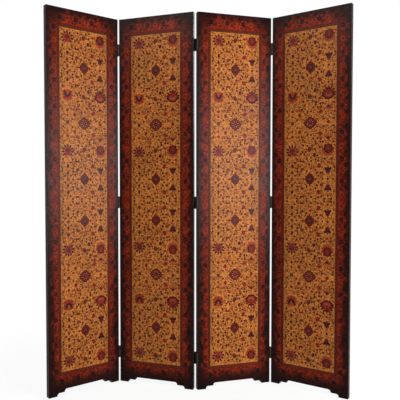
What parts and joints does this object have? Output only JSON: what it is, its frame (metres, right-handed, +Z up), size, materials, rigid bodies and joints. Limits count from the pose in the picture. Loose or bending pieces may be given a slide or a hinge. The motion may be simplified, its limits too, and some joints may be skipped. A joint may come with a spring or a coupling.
{
  "type": "folding screen",
  "caption": "Free-standing folding screen: hollow-core panels in printed faux leather, on bracket feet, joined by two-way hinges that fold either way.",
  "frame": {"origin": "middle of the whole screen's outline on the floor, at rest as pictured", "axes": "+Z up; -Y is the front, the side the picture shows; +X runs to the right seen from the front, from panel 1 to panel 4"},
  "size_m": [1.403, 0.2676, 1.8],
  "materials": {
    "timber": "planed softwood, unfinished inside, blackened underneath",
    "dowel": "plain beech",
    "board": "hardboard, bare",
    "printed_cover": "printed faux leather, satin, darkened towards its edges",
    "edge_band": "black faux leather, satin",
    "hinge": "satin black",
    "pin": "satin black, worn to steel at the heads",
    "screw": "blackened"
  },
  "bodies": {
    "panel_1": {"left_stile_1": "timber", "right_stile_1": "timber", "top_rail_1": "timber", "mid_rail_1": "timber", "bottom_rail_1": "timber", "frame_dowels_1": "dowel", "front_board_1": "board", "back_board_1": "board", "front_cover_1": "printed_cover", "back_cover_1": "printed_cover", "edge_band_1": "edge_band", "hinge_screws_1": "screw", "left_hinge_leaves_12": "hinge"},
    "panel_2": {"left_stile_2": "timber", "right_stile_2": "timber", "top_rail_2": "timber", "mid_rail_2": "timber", "bottom_rail_2": "timber", "frame_dowels_2": "dowel", "front_board_2": "board", "back_board_2": "board", "front_cover_2": "printed_cover", "back_cover_2": "printed_cover", "edge_band_2": "edge_band", "hinge_screws_2": "screw", "right_hinge_leaves_12": "hinge", "left_hinge_leaves_23": "hinge"},
    "panel_3": {"left_stile_3": "timber", "right_stile_3": "timber", "top_rail_3": "timber", "mid_rail_3": "timber", "bottom_rail_3": "timber", "frame_dowels_3": "dowel", "front_board_3": "board", "back_board_3": "board", "front_cover_3": "printed_cover", "back_cover_3": "printed_cover", "edge_band_3": "edge_band", "hinge_screws_3": "screw", "right_hinge_leaves_23": "hinge", "left_hinge_leaves_34": "hinge"},
    "panel_4": {"left_stile_4": "timber", "right_stile_4": "timber", "top_rail_4": "timber", "mid_rail_4": "timber", "bottom_rail_4": "timber", "frame_dowels_4": "dowel", "front_board_4": "board", "back_board_4": "board", "front_cover_4": "printed_cover", "back_cover_4": "printed_cover", "edge_band_4": "edge_band", "hinge_screws_4": "screw", "right_hinge_leaves_34": "hinge"},
    "link_12": {"hinge_links_12": "hinge", "hinge_pins_12": "pin"},
    "link_23": {"hinge_links_23": "hinge", "hinge_pins_23": "pin"},
    "link_34": {"hinge_links_34": "hinge", "hinge_pins_34": "pin"}
  },
  "joints": [
    {"name": "front_pin_12", "type": "hinge", "parent": "panel_2", "child": "link_12", "pos_m": [-0.3792, 0.10847, 0.9], "axis": [0, 0, 1], "range_deg": [-56, 124]},
    {"name": "back_pin_12", "type": "hinge", "parent": "link_12", "child": "panel_1", "pos_m": [-0.39601, 0.13086, 0.9], "axis": [0, 0, 1], "range_deg": [-180, 0]},
    {"name": "back_pin_23", "type": "hinge", "parent": "link_23", "child": "panel_2", "pos_m": [-0.005, 0.00852, 0.9], "axis": [0, 0, -1], "range_deg": [-35, 145]},
    {"name": "front_pin_23", "type": "hinge", "parent": "link_23", "child": "panel_3", "pos_m": [0.00267, -0.01841, 0.9], "axis": [0, 0, 1], "range_deg": [-160, 0]},
    {"name": "back_pin_34", "type": "hinge", "parent": "panel_3", "child": "link_34", "pos_m": [0.36652, 0.11435, 0.9], "axis": [0, 0, -1], "range_deg": [-180, 0]},
    {"name": "front_pin_34", "type": "hinge", "parent": "link_34", "child": "panel_4", "pos_m": [0.37419, 0.08743, 0.9], "axis": [0, 0, -1], "range_deg": [-51.4, 128.6]}
  ]
}
